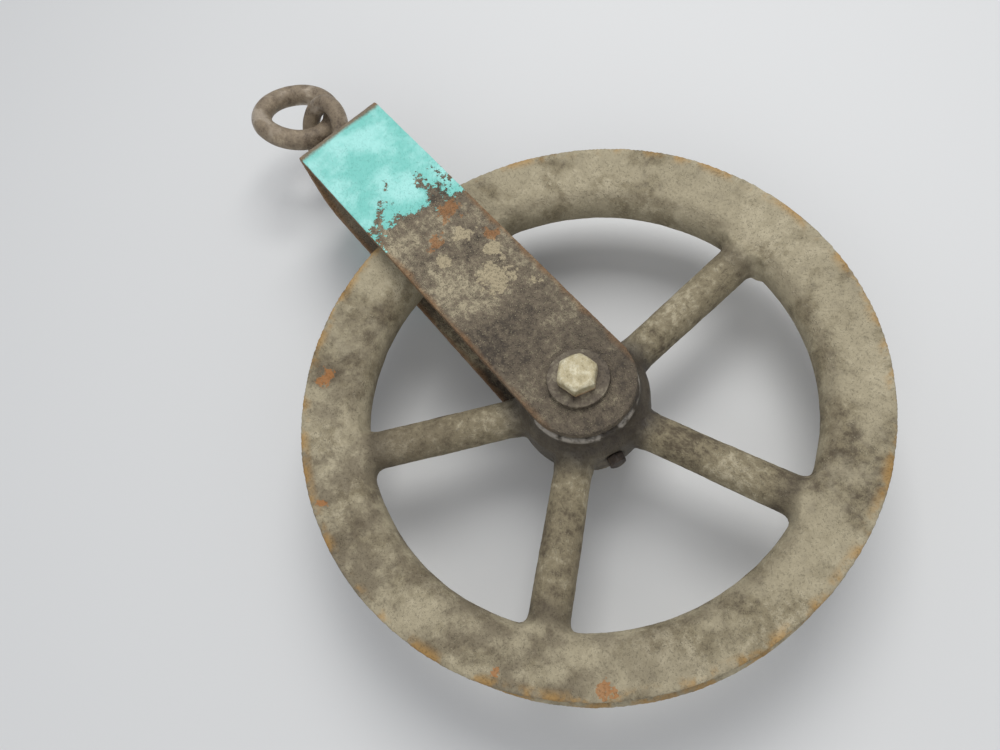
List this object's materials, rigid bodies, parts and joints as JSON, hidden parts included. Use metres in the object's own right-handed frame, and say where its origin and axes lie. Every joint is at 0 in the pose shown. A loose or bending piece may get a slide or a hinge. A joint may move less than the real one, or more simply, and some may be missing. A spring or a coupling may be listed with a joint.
{
  "type": "construction pulley",
  "caption": "Hanging rope pulley with a spoked, grooved cast-iron wheel on a bolted axle in a flat-bar fork, with a swivelling eye and a loose ring.",
  "frame": {"origin": "centre of the wheel, on the axle, in the middle plane of the rope groove", "axes": "+Z along the axle towards the bolt head, +X along the fork towards the eye and the ring, +Y to the left of the fork seen from the bolt head with the ring ahead; the part lies on its side as in the picture"},
  "size_m": [0.4625, 0.3, 0.091],
  "materials": {
    "dusty_cast_iron": "cast iron, rusty and covered with cement dust",
    "spoke_cast_iron": "rough sand-cast iron with dried cement and dirt",
    "greasy_cast_iron": "cast iron under old dark grease",
    "bronze": "dull oily bronze",
    "steel": "dull worn steel",
    "painted_strap": "worn flat bar with dried cement, rust and the rest of turquoise paint near the ring",
    "bolt_steel": "yellowed plated steel with rust and cement dust",
    "forged_steel": "worn tan-brown forged steel, bright where it rubs"
  },
  "bodies": {
    "fork": {"fork_strap": "painted_strap", "axle_bolt": "bolt_steel", "head_washer": "steel", "nut_washer": "steel", "axle_nut": "steel", "lock_nut": "steel", "distance_sleeve": "steel", "upper_thrust_washer": "steel", "lower_thrust_washer": "steel", "rivet_washer": "steel"},
    "wheel": {"rim_upper_flange": "dusty_cast_iron", "rim_lower_flange": "dusty_cast_iron", "spoke_1": "spoke_cast_iron", "spoke_2": "spoke_cast_iron", "spoke_3": "spoke_cast_iron", "spoke_4": "spoke_cast_iron", "spoke_5": "spoke_cast_iron", "hub": "greasy_cast_iron", "hub_bush": "bronze", "oil_plug": "greasy_cast_iron"},
    "eye": {"swivel_eye": "forged_steel"},
    "ring": {"hanging_ring": "forged_steel"}
  },
  "joints": [
    {"name": "wheel_spin", "type": "hinge", "parent": "fork", "child": "wheel", "pos_m": [0, 0, 0], "axis": [0, 0, 1], "continuous": true},
    {"name": "eye_swivel", "type": "hinge", "parent": "fork", "child": "eye", "pos_m": [0.231, 0, 0], "axis": [1, 0, 0], "continuous": true},
    {"name": "ring_swing", "type": "hinge", "parent": "eye", "child": "ring", "pos_m": [0.26, 0, 0], "axis": [0, 0.7431, 0.6691], "range_deg": [-105, 100]}
  ]
}
